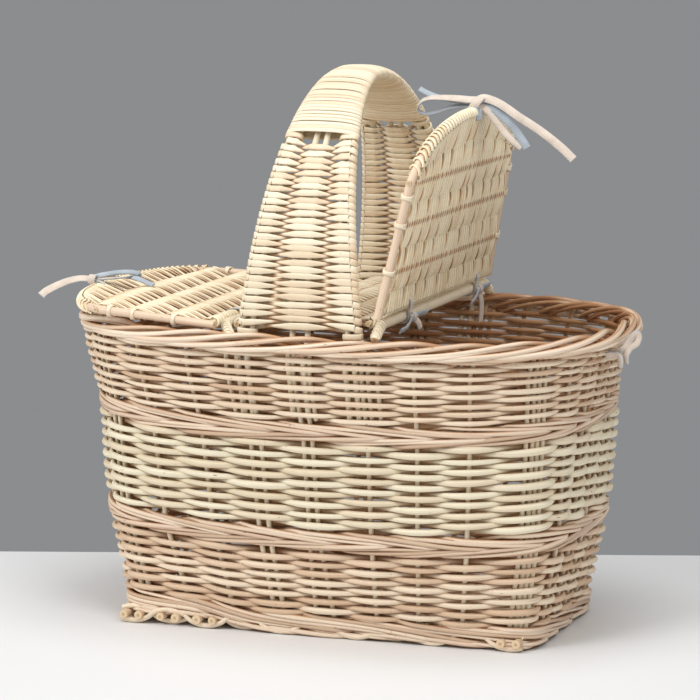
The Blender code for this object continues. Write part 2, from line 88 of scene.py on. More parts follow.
# ---- Meshes made of rods ----
class Bundle:
    """Rods, straps and skeins gathered into one mesh."""

    def __init__(self):
        self.parts = {key: [] for key in ("points", "quads", "tris", *ATTRIBUTES)}
        self.count = 0

    def add(self, points, faces, grain, **values):
        """Add points and their quads or triangles. Values are one number, or one number for each point."""
        self.parts["points"].append(points)
        self.parts["quads" if faces.shape[1] == 4 else "tris"].append(faces + self.count)
        self.parts["grain"].append(grain)
        for key in ATTRIBUTES[1:]:
            self.parts[key].append(np.full(len(points), values.get(key, 0.0)))
        self.count += len(points)

    def rod(self, path, width, depth=None, outward=None, sides=8, tint=None, caps=True, boxy=0.0,
            shade=None, core_shade=None, core_shade_depth=None, edge=None):
        """A rod along a path. Depth is its half size towards outward, and width is its half size across that.

        The last four values paint shade on it. Shade is its place in the wall, core its place through a panel,
        with painted brown shade at the panel's middle that fades to none at core_shade_depth, and edge paints
        shade on its side faces.
        """
        n = len(path)
        width = np.broadcast_to(width, n)[:, None]
        depth = width if depth is None else np.broadcast_to(depth, n)[:, None]
        tangent = unit(np.gradient(path, axis=0))
        out = carried_normals(tangent) if outward is None else square_to(outward, tangent)
        side = np.cross(tangent, out)
        angles = np.arange(sides) * 2 * math.pi / sides + (math.pi / sides if boxy else 0.0)
        c, s = np.cos(angles), np.sin(angles)
        if boxy:
            c, s = power(c, boxy), power(s, boxy)
        rings = path[:, None] + out[:, None] * (depth * c)[:, :, None] + side[:, None] * (width * s)[:, :, None]
        seed = rng.uniform(0, 50)
        tint = rng.uniform(0, 1) if tint is None else tint
        lengths = np.repeat(travelled(path) + seed, sides)
        grain = xyz(lengths, (depth * c + seed * 0.1).ravel(), (width * s + seed * 0.1).ravel())
        # Painted shade at each point: above 0.22 it browns the willow, and above 0.95 it darkens it to near
        # black.
        painted_shade = np.zeros((n, sides))
        if shade is not None:
            painted_shade = clamp((np.broadcast_to(shade, n)[:, None] - depth * c) / SHADE_DEPTH + 0.5)
        if core_shade is not None:
            painted_shade = np.clip(1.0 - np.abs(core_shade[:, None] + depth * c) / core_shade_depth, 0, 0.8)
        if edge is not None:
            painted_shade = np.maximum(painted_shade, np.broadcast_to(edge, n)[:, None] * (1.25 - np.abs(c)))
        self.add(rings.reshape(-1, 3), tube_faces(n, sides), grain, tint=tint, shade=painted_shade.ravel())
        if caps:
            ring = np.arange(1, sides + 1)
            following = np.roll(ring, -1)
            for end, order in ((0, (following, ring)), (n - 1, (ring, following))):
                centre = path[end] + tangent[end] * (depth[end] * (0.08 if end else -0.08))
                points = np.concatenate([centre[None], rings[end]])
                section = np.concatenate([np.zeros((1, 3)), xyz(0.0, depth[end] * c, width[end] * s)])
                self.add(points, xyz(0, *order), section, tint=tint, cut=1.0)

    def strap(self, path, facing, width, thickness=0.0014):
        """A leather strap along a path. Its smooth face looks towards facing, and its flesh side looks away."""
        n = len(path)
        tangent = unit(np.gradient(path, axis=0))
        out = square_to(facing, tangent)
        edge, face = STRAP_PROFILE.T * np.array([[width / 2], [thickness / 2]])
        sides = len(edge)
        rings = path[:, None] + np.cross(tangent, out)[:, None] * edge[:, None] + out[:, None] * face[:, None]
        lengths = np.repeat(travelled(path) + rng.uniform(0, 5), sides)
        grain = xyz(lengths, np.tile(edge, n), np.tile(face, n))
        smooth = np.tile(np.where(STRAP_PROFILE[:, 1] > 0.5, 1.0, 0.0), n)
        self.add(rings.reshape(-1, 3), tube_faces(n, sides)[:, ::-1], grain, tint=0.5, side=smooth)
        fan = xyz(0, np.arange(1, sides - 1), np.arange(2, sides))
        for end, order in ((0, fan), (n - 1, fan[:, ::-1])):
            self.add(rings[end], order, grain[end * sides:(end + 1) * sides], tint=0.5, side=0.25)

    def build(self, name, material, nodes=(), slot="willow", body="basket"):
        """Make the piece. It moves with its body and stands for the CAD nodes named."""
        mesh = bpy.data.meshes.new(name)
        parts = {key: np.concatenate(values) for key, values in self.parts.items() if values}
        faces = [parts[key] for key in ("quads", "tris") if key in parts]
        totals = np.concatenate([np.full(len(f), f.shape[1]) for f in faces])
        for layer, field, values in (
            (mesh.vertices, "co", parts["points"].astype(np.float32)),
            (mesh.loops, "vertex_index", np.concatenate([f.ravel() for f in faces]).astype(np.int32)),
            (mesh.polygons, "loop_start", (np.cumsum(totals) - totals).astype(np.int32)),
        ):
            layer.add(len(values))
            layer.foreach_set(field, values.ravel())
        mesh.polygons.foreach_set("loop_total", totals.astype(np.int32))
        mesh.polygons.foreach_set("use_smooth", np.ones(len(totals), bool))
        for key in ATTRIBUTES:
            kind, field = ("FLOAT_VECTOR", "vector") if key == "grain" else ("FLOAT", "value")
            attribute = mesh.attributes.new(key, kind, "POINT")
            attribute.data.foreach_set(field, parts[key].astype(np.float32).ravel())
        mesh.update(calc_edges=True)
        mesh.materials.append(material)
        obj = link(bpy.data.objects.new(name, mesh))
        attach(obj, body)
        if nodes:
            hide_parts(*nodes)
        return obj


def xyz(*parts):
    """Points or directions made of their parts, which are numbers or arrays."""
    return np.stack(np.broadcast_arrays(*parts), -1)


def half_turn(count):
    return np.linspace(-math.pi / 2, math.pi / 2, count)


def link(obj):
    bpy.context.scene.collection.objects.link(obj)
    return obj


def clamp(value):
    return np.clip(value, 0, 1)


def power(value, exponent):
    """A power that keeps the sign."""
    return np.sign(value) * np.abs(value) ** exponent


def flip(number):
    """+1 for even numbers and -1 for odd ones."""
    return 1 - 2 * (number % 2)


def unit(v):
    return v / np.maximum(np.linalg.norm(v, axis=-1, keepdims=True), 1e-12)


def square_to(facing, tangent):
    """The part of facing that is square to the path."""
    facing = np.broadcast_to(facing, tangent.shape)
    return unit(facing - (facing * tangent).sum(1, keepdims=True) * tangent)


def travelled(path):
    """The length of the path up to each of its points."""
    return np.concatenate([[0], np.cumsum(np.linalg.norm(np.diff(path, axis=0), axis=1))])


def tube_faces(count, sides):
    """The quads of a tube of rings."""
    ring = np.arange(sides)
    following = (ring + 1) % sides
    first = np.arange(count - 1)[:, None] * sides
    return xyz(first + ring, first + following, first + sides + following, first + sides + ring).reshape(-1, 4)


def carried_normals(tangent):
    """Normals carried along a path without twist."""
    normal = np.array([0.0, 0.0, 1.0]) if abs(tangent[0][2]) < 0.8 else np.array([1.0, 0.0, 0.0])
    normals = []
    for t in tangent:
        normal = unit(normal - t * normal.dot(t))
        normals.append(normal)
    return np.array(normals)


def smooth_path(points, count):
    """A Catmull-Rom curve through the points."""
    points = np.asarray(points, float)
    padded = np.concatenate([[2 * points[0] - points[1]], points, [2 * points[-1] - points[-2]]])
    last = len(points) - 1
    knots = travelled(points)
    u = np.interp(np.linspace(0, last, count), knots / knots[-1] * last, np.arange(last + 1))
    i = np.minimum(u.astype(int), last - 1)
    t = (u - i)[:, None]
    a, b, c, d = (padded[i + k] for k in range(4))
    return 0.5 * (2 * b + (c - a) * t + (2 * a - 5 * b + 4 * c - d) * t**2 + (3 * b - a - 3 * c + d) * t**3)


def wander(u, amount):
    """A slow random swing round the basket. u is the share of the way round."""
    waves = (1, 2, 3, 5, 9)
    total = sum(rng.normal(0, 1 / k**0.5) * np.sin(2 * math.pi * (k * u + rng.uniform(0, 1))) for k in waves)
    return total * amount / len(waves) ** 0.5


# ---- The wall ----
def station_table(half_length, half_width, squareness):
    """The plan of one station: x, y and the share of the way round."""
    angles = np.linspace(0, 2 * math.pi, 2049)
    c, s = np.cos(angles), np.sin(angles)
    x = half_length * power(c, 2 / squareness)
    y = half_width * power(s, 2 / squareness)
    share = travelled(xyz(x, y))
    return x, y, share / share[-1]


TABLES = [station_table(*row[1:4]) for row in WALL]


def wall_plan(share, height):
    """Plan position on the wall for arrays of share and height."""
    share = np.mod(share, 1.0)
    xs, ys = (np.stack([np.interp(share, t[2], t[axis]) for t in TABLES]) for axis in (0, 1))
    k = np.clip(np.searchsorted(WALL[:, 0], height, side="right"), 1, len(WALL) - 1)
    b = (height - WALL[k - 1, 0]) / (WALL[k, 0] - WALL[k - 1, 0])
    i = np.arange(len(share))
    x, y = (plan[k - 1, i] + (plan[k, i] - plan[k - 1, i]) * b for plan in (xs, ys))
    _, half, _, _, lift = (WALL[k - 1] + (WALL[k] - WALL[k - 1]) * b[:, None]).T
    lift = lift * np.clip(x / half, -1, 1) ** 2
    # The foot is a little askew, and its front left corner rides up on the base mat.
    low = clamp(1 - height / WALL[1, 0])
    corner = clamp((-0.05 - x) / 0.07) * clamp((0.03 - y) / 0.08)
    lift = lift + FOOT_LIFT * low * corner**2 * (3 - 2 * corner)
    y = y + np.interp(height, WALL[:, 0], LEAN_Y) + FOOT_SKEW * low * x
    x = x + np.interp(height, WALL[:, 0], LEAN_X)
    return x, y, lift


def wall(share, height, offset=0.0):
    """Points on the wall and the outward direction at each."""
    share = np.atleast_1d(share)
    height = np.broadcast_to(height, share.shape)
    x, y, lift = wall_plan(share, height)
    xa, ya, _ = wall_plan(share - 2e-3, height)
    xb, yb, _ = wall_plan(share + 2e-3, height)
    out = unit(xyz(yb - ya, xa - xb, 0.0))
    return xyz(x, y, height + lift) + out * np.broadcast_to(offset, share.shape)[:, None], out


# Weavers stand this far from the middle of the stakes.
STAKE_R = 0.0023
# Half the width of the group of rods at each stake, in metres.
GROUPS = {21: 0.0032, 20: 0.0045, 7: 0.0032, 8: 0.0045, 25: 0.0075, 3: 0.0075, 17: 0.0045, 11: 0.0045}
# The same in the upper band, where the handle's ribs and their liners stand beside the stakes.
LINED = {20: 0.0085, 21: 0.0090, 22: 0.0125, 6: 0.0125, 7: 0.0090, 8: 0.0085}
LINERS = (-0.0560, 0.0140, 0.0625, 0.0700)
# How far some stakes stand from their even places, counted in stakes. The back mirrors the front.
SHIFTS = {15: 0.0, 16: -0.2, 17: -0.35, 18: -0.25, 19: -0.15, 20: 0.0, 21: 0.1, 22: 0.33, 23: 0.34, 24: 0.36,
          25: 0.62, 26: 0.42, 27: 0.2, 28: 0.0}


def place_share(u):
    """The share of the way round for a place counted in stakes."""
    v = np.mod(u, STAKES)
    front, back = (np.interp(w, list(SHIFTS), list(SHIFTS.values())) for w in (v, STAKES - v))
    return (u + np.where(v >= STAKES / 2, front, -back)) / STAKES


def group_half(index, ribs=False):
    """Half the width of the group of rods at a stake."""
    half = GROUPS.get(index % STAKES, 0.0)
    return LINED.get(index % STAKES, half) if ribs else half


def weave_side(u, ribs):
    """+1 outside the even stakes and -1 outside the odd ones. u counts stakes."""
    i = np.floor(u).astype(int)
    t = u - i
    halves = np.array([group_half(k, ribs) for k in range(STAKES)]) / PITCH
    near, far = halves[i % STAKES], halves[(i + 1) % STAKES]
    s = clamp((t - near) / (1 - near - far))
    return flip(i) * np.cos(math.pi * s)


def weave_rows(bundle, heights, radius, first=1, ribs=False):
    """Rows of plain weave. Each row is two or three tapered rods whose ends lie on the inner side."""
    for number, height in enumerate(heights):
        side = first * flip(number)
        start = (0 if side < 0 else 1) + 2 * rng.integers(0, STAKES // 2)
        place, end = start, start + STAKES
        drift_seed = rng.uniform(0, 1, 5)
        while place < end:
            length = min(2 * int(rng.integers(5, 9)), end - place)
            if end - place - length < 4:
                length = end - place
            u = np.linspace(place - 0.38, place + length + 0.38, int((length + 0.76) * 10))
            shape = side * weave_side(u, ribs)
            share = place_share(u)
            drift = sum(0.00022 * np.sin(2 * math.pi * (k * share + drift_seed[k - 1])) for k in range(1, 6))
            start_size, end_size = (1.12, 0.86) if rng.uniform() < 0.5 else (0.88, 1.1)
            size = radius * np.linspace(start_size, end_size, len(u)) * rng.normal(1, 0.05)
            ends = clamp(np.minimum(u - u[0], u[-1] - u) / 0.45)
            offset = shape * (STAKE_R + size * 0.92) - (1 - ends) * 0.0022
            lumps = 1 + 0.04 * np.sin(u * 2.3 + rng.uniform(0, 6)) + 0.03 * np.sin(u * 5.1 + rng.uniform(0, 6))
            points, out = wall(share, height + drift + rng.normal(0, 0.00015), offset)
            tall = size * lumps * (0.93 + 0.17 * np.abs(shape) ** 1.5)
            # Painted shade: the further inside the stakes a rod lies, the browner it is painted.
            bundle.rod(points, tall, size * lumps * 0.95, outward=out, shade=-offset)
            place += length


def wale_row(bundle, height, rise, radius, strands, offset, first=0.0):
    """A wale: each rod slopes down outside all but one of its stakes, then climbs back behind that one."""
    for strand in range(strands):
        start = first + strand
        u = np.linspace(start - 0.55, start + STAKES + 0.55, STAKES * 9)
        phase = np.mod(u - strand, strands)
        inside = clamp(1 - np.minimum(phase, strands - phase) / 0.85)
        shape = 1 - 2 * np.sin(inside * math.pi / 2) ** 1.3
        slope = np.interp(phase, [0.0, 0.55, strands - 0.55, strands], [0.0, 1.0, -1.0, 0.0])
        share = place_share(u)
        size = radius * (1 + 0.12 * np.sin(phase * 2.1 + rng.uniform(0, 6))) * rng.normal(1, 0.06)
        swing = wander(share, 0.0009) + 0.0007 * np.sin(u * 1.7 + rng.uniform(0, 6))
        reach = shape * (STAKE_R + size * 0.9) - 0.0006 * slope
        points, out = wall(share, height + slope * rise + swing, offset + reach)
        # Painted shade: the parts behind the stakes are painted browner, and edge paints shade on the strands'
        # side faces.
        shade = 0.0012 - shape * (STAKE_R + size)
        bundle.rod(points, size * 1.06, size, outward=out, sides=9, shade=shade, edge=0.95)


def border(bundle):
    """The border: each stake turns over and runs along the rim, rising to the right, and is tucked away."""
    path = np.array([
        # stakes along, outward, height
        (0.00, -0.0035, 0.2370), (0.20, -0.0020, 0.2418), (0.45, 0.0030, 0.2430), (0.90, 0.0050, 0.2430),
        (1.60, 0.0054, 0.2450), (2.20, 0.0044, 0.2482), (2.75, 0.0010, 0.2514), (3.20, -0.0036, 0.2520),
        (3.70, -0.0068, 0.2486), (4.10, -0.0062, 0.2435), (4.30, -0.0035, 0.2395),
    ])
    along, outward, heights = smooth_path(path, 44).T
    sizes = np.interp(np.arange(44), [0, 10, 30, 43], [0.0019, 0.0022, 0.0022, 0.0017])
    for index in range(STAKES):
        for twin in (-1, 1):
            start = index + 0.09 * twin + rng.normal(0, 0.03)
            swing = rng.normal(0, 0.0003)
            size = sizes * rng.normal(1, 0.09)
            points, out = wall((start + along) / STAKES, RIM_HEIGHT, outward + swing)
            # The border is higher at both ends of the basket.
            x = points[:, 0]
            rise = np.where(x > 0, 0.0026, 0.0045) * clamp((np.abs(x) - 0.12) / 0.105) ** 1.5
            points[:, 2] = heights + 0.0009 * twin + rise + rng.normal(0, 0.0006)
            # Painted shade: the parts further in are painted browner, and edge paints shade on the rods' side
            # faces.
            bundle.rod(points, size, outward=out, shade=-outward - 0.0012, edge=0.75)


# ---- Materials ----
class Material:
    """A material with short ways to add and join its shader nodes."""

    def __init__(self, name):
        self.made = bpy.data.materials.new(name)
        self.made.use_nodes = True
        self.tree = self.made.node_tree

    def fill(self, node, inputs):
        """Give a node's inputs their values, or join them to other nodes' outputs."""
        for key, value in inputs.items():
            socket = node.inputs[key]
            if isinstance(value, bpy.types.NodeSocket):
                self.tree.links.new(value, socket)
            else:
                socket.default_value = (*value, 1.0) if socket.type == "RGBA" else value
        return node

    def new(self, kind, inputs, output=0, **values):
        node = self.tree.nodes.new("ShaderNode" + kind)
        for key, value in values.items():
            setattr(node, key, value)
        return self.fill(node, inputs).outputs[output]

    def attribute(self, name, output="Fac"):
        return self.new("Attribute", {}, output, attribute_name=name)

    def noise(self, vector, scale, detail=2.0, roughness=0.5):
        inputs = {"Scale": 1.0, "Detail": detail, "Roughness": roughness}
        inputs["Vector"] = self.new("VectorMath", {0: vector, 1: scale}, operation="MULTIPLY")
        return self.new("TexNoise", inputs, "Fac")

    def ramp(self, value, low, high):
        inputs = {"Value": value, "From Min": low, "From Max": high}
        return self.new("MapRange", inputs, interpolation_type="SMOOTHSTEP")

    def times(self, value, factor):
        return self.new("Math", {0: value, 1: factor}, operation="MULTIPLY")

    def mix(self, a, b, factor, blend="MIX"):
        return self.new("Mix", {"Factor": factor, 6: a, 7: b}, 2, data_type="RGBA", blend_type=blend)

    def finish(self, height, strength, distance, inputs):
        """Set the surface, with small bumps where height is high."""
        bump = self.new("Bump", {"Strength": strength, "Distance": distance, "Height": height}, "Normal")
        self.fill(self.tree.nodes["Principled BSDF"], {**inputs, "Normal": bump})
        return self.made


def willow(name, light, dark, patch, gloss=0.42, streak=0.55, speck=0.75):
    """Peeled willow: long grain, soft blotches, small specks, cut ends with pith, and painted shade that makes
    the dark gaps.
    """
    m = Material(name)
    grain = m.attribute("grain", "Vector")
    darker = tuple(c * 0.72 for c in dark)
    paler = tuple(min(1.0, c * 1.16 + 0.02) for c in light)
    colour = m.mix(light, dark, m.ramp(m.attribute("tint"), 0.15, 1.15))
    colour = m.mix(colour, patch, m.ramp(m.noise(grain, (9, 70, 70), 2), 0.50, 0.78))
    streaks = m.noise(grain, (14, 1500, 1500), 3, 0.6)
    colour = m.mix(colour, darker, m.times(m.ramp(streaks, 0.48, 0.80), streak))
    colour = m.mix(colour, paler, m.times(m.ramp(streaks, 0.45, 0.18), 0.5))
    specks = m.ramp(m.noise(grain, (130, 420, 420), 1), speck, speck + 0.05)
    colour = m.mix(colour, (0.20, 0.10, 0.05), m.times(specks, 0.75))
    nicks = m.ramp(m.noise(grain, (320, 260, 260), 2), 0.70, 0.76)
    colour = m.mix(colour, darker, m.times(nicks, 0.5))
    rings = m.ramp(m.new("VectorMath", {0: grain}, "Value", operation="LENGTH"), 0.0004, 0.0022)
    colour = m.mix(colour, m.mix((0.52, 0.34, 0.20), (0.78, 0.60, 0.38), rings), m.attribute("cut"))
    # Painted shade: the shade attribute multiplies the colour to brown, then to near black in the slots and
    # notches.
    shade = m.attribute("shade")
    colour = m.mix(colour, (0.56, 0.37, 0.24), m.ramp(shade, 0.22, 0.95), "MULTIPLY")
    colour = m.mix(colour, (0.16, 0.09, 0.05), m.ramp(shade, 0.95, 1.7), "MULTIPLY")
    rough = m.new("MapRange", {"Value": streaks, "To Min": gloss, "To Max": gloss + 0.22})
    return m.finish(streaks, 0.35, 0.0004, {
        "Base Color": colour, "Roughness": rough, "Specular IOR Level": 0.42, "Subsurface Weight": 0.0,
    })


TAN = willow("willow_tan", (0.87, 0.72, 0.54), (0.66, 0.45, 0.29), (0.81, 0.60, 0.43))
CREAM = willow("willow_cream", (0.86, 0.78, 0.59), (0.76, 0.63, 0.44), (0.80, 0.66, 0.48))
WALE = willow("willow_wale", (0.87, 0.71, 0.54), (0.60, 0.42, 0.28), (0.80, 0.60, 0.45))
RIM = willow("willow_rim", (0.89, 0.74, 0.58), (0.68, 0.48, 0.32), (0.83, 0.62, 0.46))
BROWN = willow("willow_base", (0.74, 0.56, 0.39), (0.58, 0.39, 0.24), (0.64, 0.43, 0.28))
SKEIN = willow("willow_skein", (0.88, 0.77, 0.58), (0.76, 0.59, 0.40), (0.84, 0.74, 0.54), 0.32, 0.5, 0.80)
LID_SKEIN = willow("willow_lid", (0.97, 0.86, 0.63), (0.86, 0.69, 0.45), (0.93, 0.82, 0.57), 0.24, 0.4, 0.82)


def leather(name, smooth, flesh):
    """Undyed leather: a smooth pale face with fine pores, and a grey, fuzzy back."""
    m = Material(name)
    grain = m.attribute("grain", "Vector")
    pores = m.new("TexNoise", {"Vector": grain, "Scale": 900, "Detail": 4}, "Fac")
    cloud = m.new("TexNoise", {"Vector": grain, "Scale": 90}, "Fac")
    faces = m.mix(flesh, smooth, m.attribute("side"))
    tone = m.new("MapRange", {"Value": cloud, "From Min": 0.3, "From Max": 0.7, "To Min": 0.82, "To Max": 1.05})
    colour = m.new("VectorMath", {0: faces, "Scale": tone}, operation="SCALE")
    return m.finish(pores, 0.4, 0.0003, {
        "Base Color": colour, "Roughness": 0.78, "Sheen Weight": 0.35, "Sheen Roughness": 0.6,
    })


LEATHER = leather("thong_leather", (0.72, 0.61, 0.51), (0.40, 0.45, 0.50))


# ---- Body ----
def spread(low, high, pitch):
    """Even places between two limits."""
    count = round((high - low) / pitch)
    return low + (np.arange(count) + 0.5) * (high - low) / count


def build_band(word, low, high, pitch, radius, material, first=1, ribs=False):
    """One band of plain weave, in three pieces."""
    heights = spread(low, high, pitch)
    for number, part in enumerate(np.array_split(np.arange(len(heights)), 3)):
        bundle = Bundle()
        weave_rows(bundle, heights[part], radius, first * flip(part[0]), ribs)
        bundle.build(f"{word}_rows_{number + 1}", material, () if number else (word + "_weave",))


build_band("lower", 0.0170, 0.0730, 0.00400, 0.00228, TAN)
build_band("middle", 0.0945, 0.1665, 0.00455, 0.00272, CREAM, first=-1)
build_band("upper", 0.1850, 0.2415, 0.00385, 0.00192, TAN, ribs=True)


def build_wales():
    """Two wales, each of two rows that slope opposite ways like a chain, then the foot wale and the border."""
    for name, height in (("lower_wale", 0.0838), ("upper_wale", 0.1752)):
        bundle = Bundle()
        wale_row(bundle, height + 0.0038, 0.0042, 0.00175, 4, -0.0002, rng.uniform(0, 1))
        wale_row(bundle, height - 0.0040, -0.0034, 0.00175, 4, -0.0004, rng.uniform(0, 1))
        bundle.build(name + "_rods", WALE, (name,))
    bundle = Bundle()
    wale_row(bundle, 0.0122, 0.0062, 0.0019, 5, 0.0006)
    wale_row(bundle, 0.0046, 0.0014, 0.0019, 3, 0.0010)
    bundle.build("foot_wale_rods", WALE, ("foot_wale",), "willow_brown")
    bundle = Bundle()
    border(bundle)
    bundle.build("rim_border_rods", RIM, ("rim_border",))


def build_stakes():
    """The stakes, single or in groups of two or four, and the liners beside the handle."""
    bundle = Bundle()
    heights = np.linspace(0.004, 0.246, 26)
    for index in range(STAKES):
        half = group_half(index)
        count = 1 if half == 0 else (2 if half < 0.006 else 4)
        # The narrow groups spread out towards the foot.
        spacing = np.interp(heights, [0.0, 0.09, 0.25], [2.9, 1.1, 0.9]) if 0 < half < 0.004 else 1.0
        for place in np.linspace(-half, half, count):
            share = place_share(np.full(26, index + rng.normal(0, 0.01))) + place * spacing / PITCH / STAKES
            points, out = wall(share, heights)
            # Painted shade: the stakes are painted a little browner, most on their inner sides.
            bundle.rod(points, np.linspace(0.0024, 0.0019, 26), outward=out, shade=0.0008)
    # Liners stand beside the handle's ribs in the upper band, in front and behind.
    for x in LINERS:
        for middle, way in ((FRONT, 1), (BACK, -1)):
            points, out = wall(np.full(8, middle + way * x / PITCH / STAKES), np.linspace(0.186, 0.245, 8))
            # Painted shade, as on the stakes.
            bundle.rod(points, 0.0020, outward=out, shade=0.0008)
    nodes = [f"cross_league_{k}" for k in range(1, 10)] + [f"long_league_{k}" for k in range(1, 6)]
    bundle.build("stakes", CREAM, nodes, "willow_brown")


def base_place(x, y):
    """The base mat is a little askew, like the foot."""
    return y + LEAN_Y[0] + FOOT_SKEW * x


def build_base():
    """The base mat: weavers along the basket that pass over and under pairs of thick sticks."""
    pitch = 0.0322
    centres = (np.arange(11) - 5) * pitch
    bundle = Bundle()
    for centre in centres:
        for x in (centre - 0.0066, centre + 0.0066):
            out = 0.0905 if x < -0.085 or x > 0.145 else 0.0835
            y = np.linspace(-out + rng.normal(0, 0.0007), 0.0885, 16)
            path = xyz(x + rng.normal(0, 0.0004), base_place(x, y), 0.0076)
            bundle.rod(path, 0.0034 * rng.normal(1, 0.05), sides=12)
    bundle.build("base_sticks", BROWN, [f"base_stick_pair_{k}" for k in range(1, 7)], "willow_brown")
    bundle = Bundle()
    for number, y in enumerate(spread(-0.0885, 0.0885, 0.0046)):
        x = np.linspace(-0.1715, 0.1715, 260)
        wave = np.cos(math.pi * (x - centres[0]) / pitch) * flip(number)
        path = xyz(x, base_place(x, y) + rng.normal(0, 0.0002), 0.0078 - power(wave, 0.7) * 0.0055)
        bundle.rod(path, 0.0021 * rng.normal(1, 0.05))
    bundle.build("base_mat", TAN, ("base_weave",))


build_wales()
build_stakes()
build_base()


# ---- Handle ----
# Half widths of the handle at the rim and at the crown, and its ribs' places across it.
HANDLE_HALF = (0.0535, 0.0200)
RIBS = (
    (-0.0495, -0.0155), (-0.0415, -0.0100), (-0.0065, -0.0035),
    (0.0065, 0.0035), (0.0415, 0.0100), (0.0495, 0.0155),
)
LEG_START = 0.0115
LEG_PITCH = 0.00276
# Half the depth of the woven legs.
LEG_SWING = 0.0037
GRIP_PITCH = 0.00345


def hoop(angle, across, outward=0.0):
    """Points on the handle's arch and the outward direction at each."""
    points = xyz(across, -HOOP_SPAN * np.cos(angle), HOOP_Z + HOOP_RISE * np.sin(angle))
    normal = unit(xyz(0.0, -HOOP_RISE * np.cos(angle), HOOP_SPAN * np.sin(angle)))
    return points + normal * np.broadcast_to(outward, angle.shape)[:, None], normal


HOOP_ANGLES = np.linspace(0, math.pi, 400)
HOOP_LENGTH = travelled(hoop(HOOP_ANGLES, 0.0)[0])
GRIP_START = np.interp(math.radians(51.5), HOOP_ANGLES, HOOP_LENGTH)
LEG_STOP = GRIP_START - 0.0062


def hoop_angle(length):
    return np.interp(length, HOOP_LENGTH, HOOP_ANGLES)


def taper(ends, angle):
    """A place across the handle that goes from its value at the rim to its value at the crown."""
    return ends[1] + (ends[0] - ends[1]) * (1 - np.sin(angle)) ** 0.75


def leaning(normal, up, sideways):
    """Directions made of so much of the normal and so much of X."""
    return normal * up[:, None] + np.outer(sideways, (1.0, 0.0, 0.0))


def build_ribs():
    """The handle's ribs, with their feet inside the upper band."""
    bundle = Bundle()
    angles = np.linspace(0, math.pi, 90)
    for ends in RIBS:
        feet = []
        for middle, way in ((FRONT, 1), (BACK, -1)):
            points, _ = wall(np.full(8, middle + way * ends[0] / PITCH / STAKES), np.linspace(0.188, 0.244, 8))
            points[:, 0] = ends[0]
            feet.append(points)
        path = np.concatenate([feet[0], hoop(angles, taper(ends, angles))[0], feet[1][::-1]])
        bundle.rod(smooth_path(path[::2], 120), 0.0025)
    bundle.build("handle_ribs", CREAM, [f"handle_rib_{k}" for k in range(1, 7)])


def leg_points(mirrored, angle, across, outward):
    """Points on the front leg, or on the back leg if mirrored."""
    return hoop(math.pi - angle if mirrored else angle, across, outward)


def column_ring(bundle, along, side, mirrored):
    """A skein wrapped once round the outer pair of ribs on one side of a leg."""
    turn = np.linspace(0, 2 * math.pi, 25)
    c, s = np.cos(turn), np.sin(turn)
    angle = hoop_angle(along + 0.0004 * c)
    outer, inner = taper(RIBS[-1], angle), taper(RIBS[-2], angle)
    across = side * ((outer + inner) / 2 + ((outer - inner) / 2 + LEG_SWING) * power(c, 0.7))
    path, normal = leg_points(mirrored, angle, across, LEG_SWING * power(s, 0.7))
    bundle.rod(path, 0.00235, 0.0009, outward=leaning(normal, s, side * c), caps=False, boxy=0.55)


def build_leg(word):
    """One skein that goes to and fro round three columns of ribs and turns round the outer rib."""
    bundle = Bundle()
    mirrored = word == "back"
    t = np.linspace(-1, 1, 72)
    turn = np.linspace(0, math.pi, 11)
    count = int((LEG_STOP - LEG_START) / LEG_PITCH)
    for row in range(count):
        side = flip(row)
        along = LEG_START + row * LEG_PITCH + rng.normal(0, 0.00013)
        # The top rows climb towards the sides, and the lowest rows droop there.
        climb = 0.0042 * clamp(1 - (LEG_STOP - along) / 0.024) - 0.0026 * clamp(1 - (along - LEG_START) / 0.012)
        angle = hoop_angle(along + 0.0004 * np.sin(t * 2 + row) + climb * np.abs(t) ** 1.6)
        across = t * taper(RIBS[-1], angle)
        middle_edge = taper(RIBS[3], angle) + 0.0012
        column_edge = taper(RIBS[4], angle) - 0.0012
        crossing = clamp((np.abs(across) - middle_edge) / np.maximum(column_edge - middle_edge, 0.002))
        # A skein lies flat between the ribs, so its path is straight there and bends at the ribs.
        ease = 0.75 * crossing + 0.25 * crossing**2 * (3 - 2 * crossing)
        depth = side * (1 - 2 * ease) * LEG_SWING
        pinch = 0.42 + 0.58 * np.abs(1 - 2 * crossing) ** 1.1
        swell = 1 + 0.05 * np.sin(t * 5 + row * 1.7)
        path, normal = leg_points(mirrored, angle, across, depth)
        wide = 0.00272 * rng.normal(1, 0.05) * swell * pinch
        tint = rng.uniform(0, 1)
        look = {"caps": False, "tint": tint, "boxy": 0.6}
        # Painted shade where the skein crosses the middle of the leg's depth between columns, and on its side
        # faces.
        bundle.rod(path, wide, 0.0010, outward=normal, core_shade=depth, core_shade_depth=0.0020, edge=0.5, **look)
        if row + 1 < count:
            angle = hoop_angle(along + LEG_PITCH * turn / math.pi + climb)
            across = side * (taper(RIBS[-1], angle) + LEG_SWING * np.sin(turn))
            depth = -side * LEG_SWING * np.cos(turn)
            path, normal = leg_points(mirrored, angle, across, depth)
            out = leaning(normal, -side * np.cos(turn), side * np.sin(turn))
            bundle.rod(path, 0.00262, 0.0010, outward=out, **look)
    # The side columns are wrapped on their own up to the grip and down to the border.
    for side in (-1, 1):
        for along in (LEG_START - 0.0062, LEG_START - 0.0112, LEG_STOP + 0.0040):
            column_ring(bundle, along, side, mirrored)
    bundle.build(word + "_leg_rows", SKEIN, (word + "_leg_weave",), "willow_pale")


